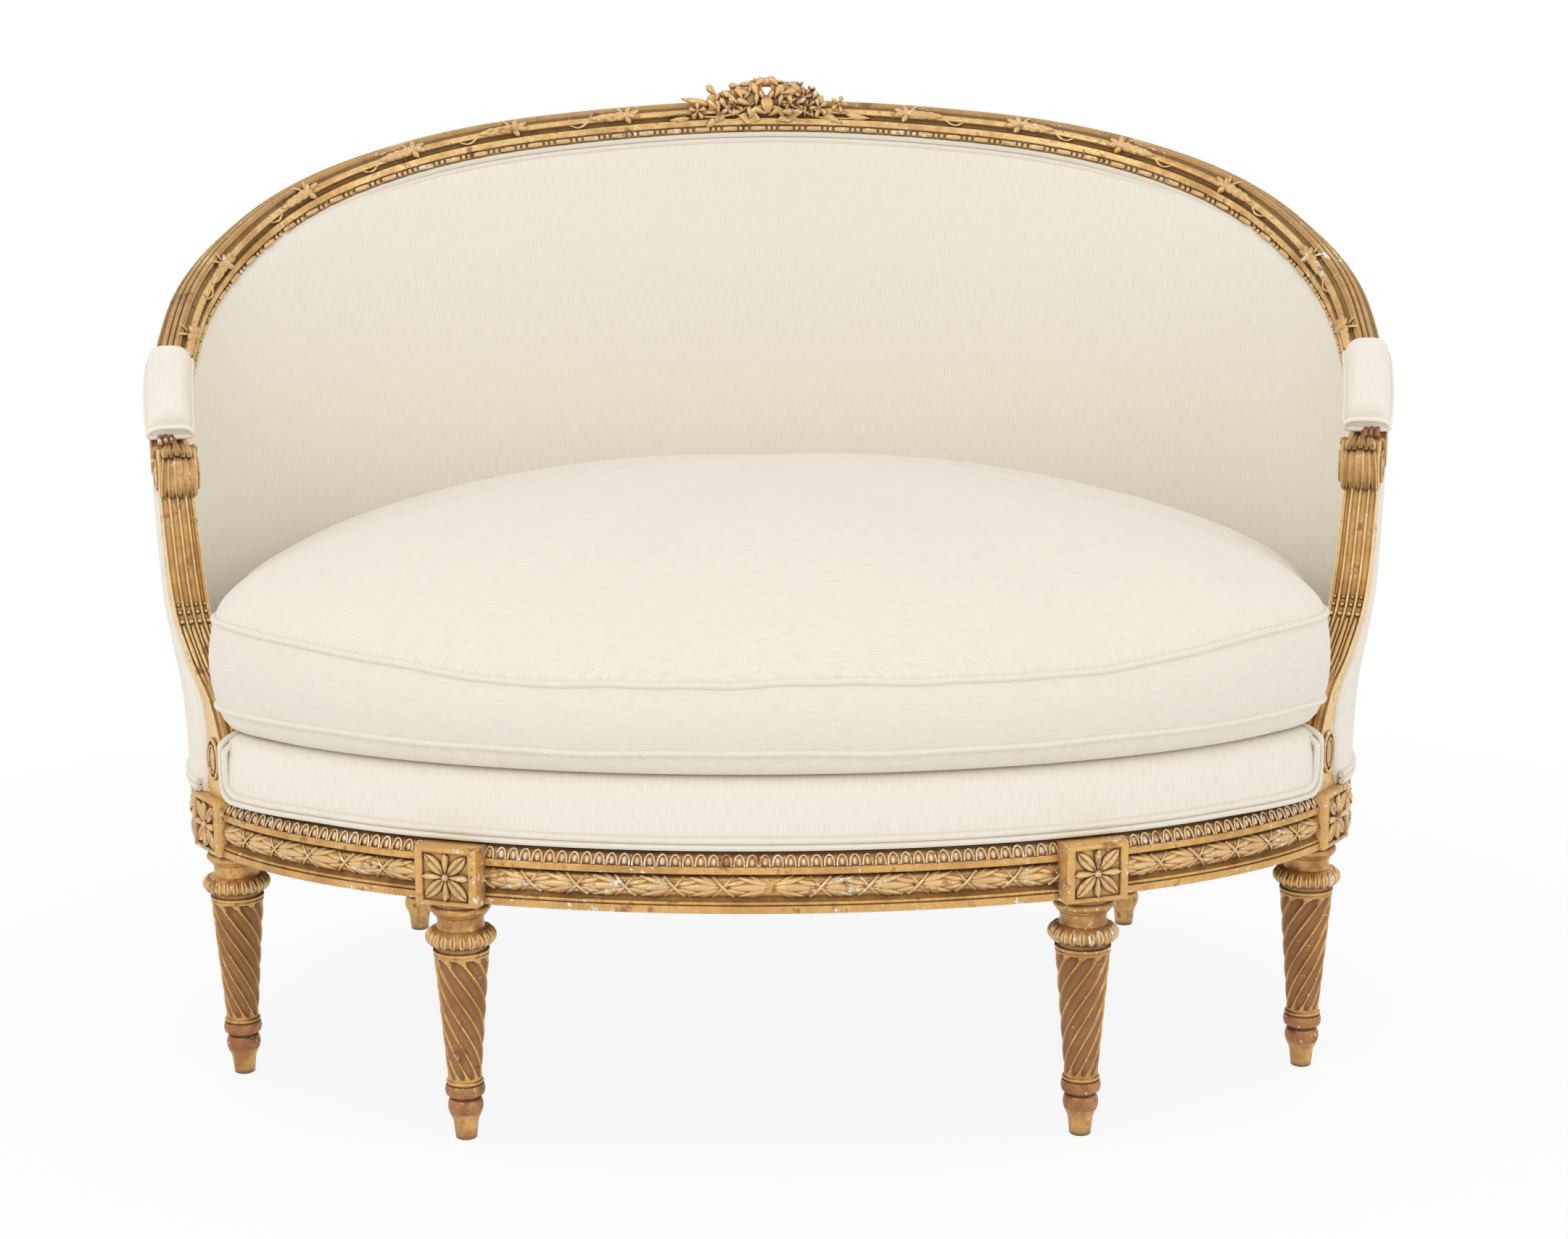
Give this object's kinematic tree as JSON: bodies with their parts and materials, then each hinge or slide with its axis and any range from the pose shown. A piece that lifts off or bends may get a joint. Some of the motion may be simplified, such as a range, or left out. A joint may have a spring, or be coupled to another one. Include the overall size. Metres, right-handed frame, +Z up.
{
  "type": "cabriole sofa",
  "caption": "Giltwood settee of basket form with spiral-fluted turned legs, one swept carved crest and arm rail, linen upholstery and a loose feather seat cushion.",
  "frame": {"origin": "on the floor under the middle of the bounding box, halfway between the front of the seat rail and the back of the crest", "axes": "+X to the right end seen from the front, +Y from the front to the back, +Z up"},
  "size_m": [1.2798, 0.845, 0.986],
  "materials": {
    "giltwood": "carved wood, antique water gilding worn to red bole and white gesso",
    "beech_frame": "plain sawn beech, unfinished",
    "linen": "slubby natural cream linen over hair and feather filling",
    "jute_webbing": "woven jute upholstery webbing",
    "dust_cloth": "thin black cambric tacked under the seat"
  },
  "bodies": {
    "frame": {"leg_front_inner_right": "giltwood", "leg_front_inner_left": "giltwood", "leg_front_outer_right": "giltwood", "leg_front_outer_left": "giltwood", "leg_back_right": "giltwood", "leg_back_left": "giltwood", "seat_rail_front_centre": "giltwood", "seat_rail_front_right": "giltwood", "seat_rail_front_left": "giltwood", "seat_rail_side_right": "giltwood", "seat_rail_side_left": "giltwood", "seat_rail_back": "giltwood", "crest_rail_centre": "giltwood", "crest_cresting": "giltwood", "crest_rail_right": "giltwood", "crest_rail_left": "giltwood", "arm_rail_right": "giltwood", "arm_rail_left": "giltwood", "arm_support_right": "giltwood", "arm_support_left": "giltwood", "corner_block_front_inner_right": "beech_frame", "corner_block_front_inner_left": "beech_frame", "corner_block_front_outer_right": "beech_frame", "corner_block_front_outer_left": "beech_frame", "corner_block_back_right": "beech_frame", "corner_block_back_left": "beech_frame", "seat_stretcher": "beech_frame", "crest_dowel_right": "beech_frame", "crest_dowel_left": "beech_frame", "arm_dowel_right": "beech_frame", "arm_dowel_left": "beech_frame", "side_post_right": "beech_frame", "side_post_left": "beech_frame", "back_post_right": "beech_frame", "back_post_left": "beech_frame", "seat_deck": "linen", "arm_pad_right": "linen", "arm_pad_left": "linen", "inside_back": "linen", "outside_back": "linen", "seat_webbing": "jute_webbing", "dust_cover": "dust_cloth"},
    "cushion": {"loose_cushion": "linen"}
  },
  "joints": [
    {"name": "cushion_lift", "type": "slide", "parent": "frame", "child": "cushion", "axis": [0, 0, 1], "range_m": [0, 0.38]}
  ]
}
